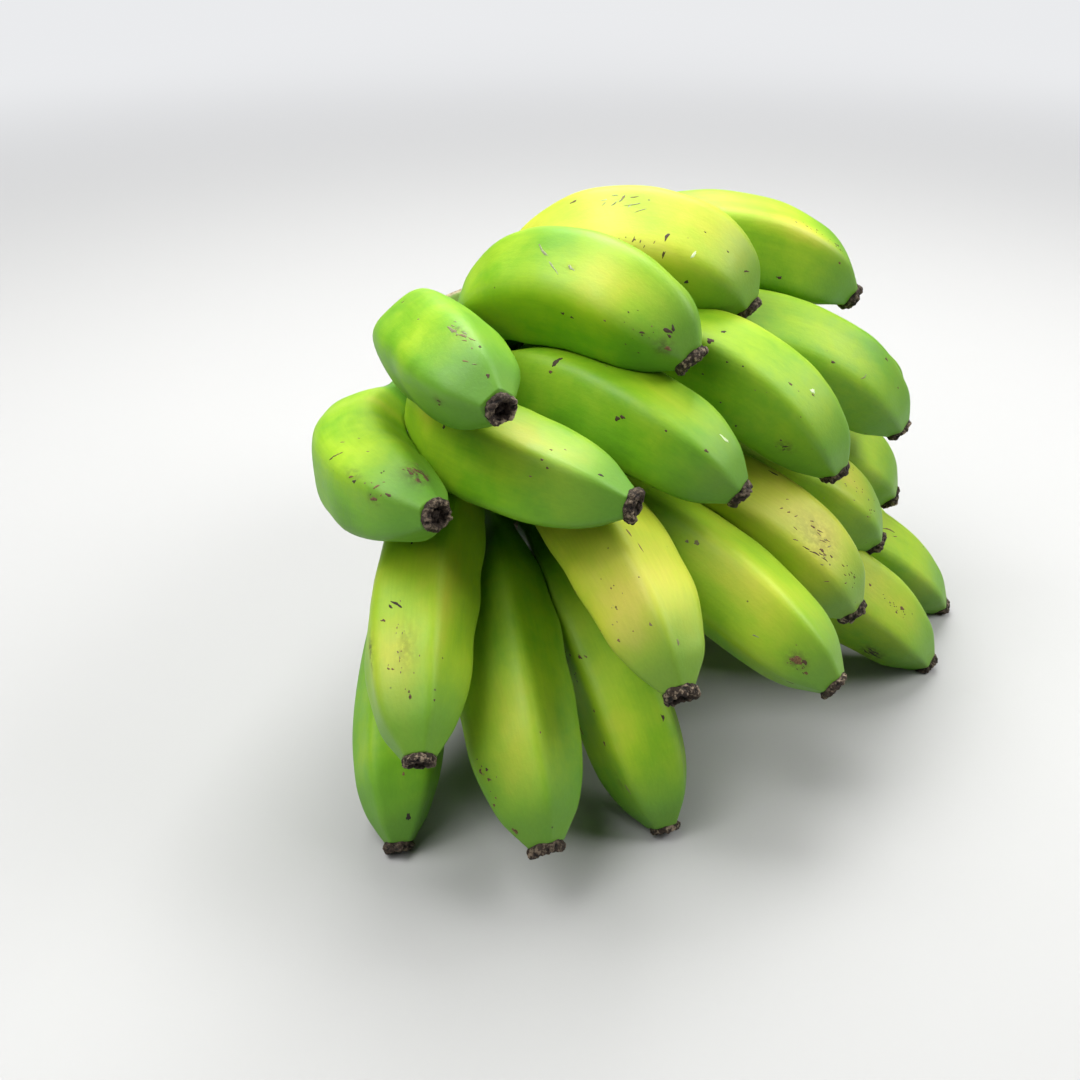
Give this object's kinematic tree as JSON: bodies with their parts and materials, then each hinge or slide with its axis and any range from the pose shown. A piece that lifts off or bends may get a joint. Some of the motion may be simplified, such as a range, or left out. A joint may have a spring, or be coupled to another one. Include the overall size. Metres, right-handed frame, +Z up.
{
  "type": "banana bunch",
  "caption": "Bunch of green bananas: hands of curved, blunt-edged fruit fan out and droop from a short cut stalk, resting on the tips of the lowest ones.",
  "frame": {"origin": "middle of the foot: centre of the bounding box in plan, at the height of the lowest tips", "axes": "+Z up, -Y towards the bunch's front, where the most fruit shows, +X towards its right"},
  "size_m": [0.3004, 0.3346, 0.2223],
  "materials": {
    "banana_skin": "satin",
    "stalk_skin": "matte"
  },
  "bodies": {
    "root": {"lower_hand_top_banana_1": "banana_skin", "lower_hand_top_banana_2": "banana_skin", "lower_hand_top_banana_3": "banana_skin", "lower_hand_top_banana_4": "banana_skin", "lower_hand_top_banana_5": "banana_skin", "lower_hand_top_banana_6": "banana_skin", "lower_hand_top_banana_7": "banana_skin", "lower_hand_under_banana_1": "banana_skin", "lower_hand_under_banana_2": "banana_skin", "lower_hand_under_banana_3": "banana_skin", "lower_hand_under_banana_4": "banana_skin", "lower_hand_under_banana_5": "banana_skin", "lower_hand_under_banana_6": "banana_skin", "lower_hand_under_banana_7": "banana_skin", "lower_hand_under_banana_8": "banana_skin", "stalk": "stalk_skin", "upper_hand_top_banana_1": "banana_skin", "upper_hand_top_banana_2": "banana_skin", "upper_hand_top_banana_3": "banana_skin", "upper_hand_top_banana_4": "banana_skin", "upper_hand_top_banana_5": "banana_skin", "upper_hand_top_banana_6": "banana_skin", "upper_hand_under_banana_1": "banana_skin", "upper_hand_under_banana_2": "banana_skin", "upper_hand_under_banana_3": "banana_skin", "upper_hand_under_banana_4": "banana_skin", "upper_hand_under_banana_5": "banana_skin", "upper_hand_under_banana_6": "banana_skin", "upper_hand_under_banana_7": "banana_skin", "upper_hand_under_banana_8": "banana_skin"}
  },
  "joints": []
}
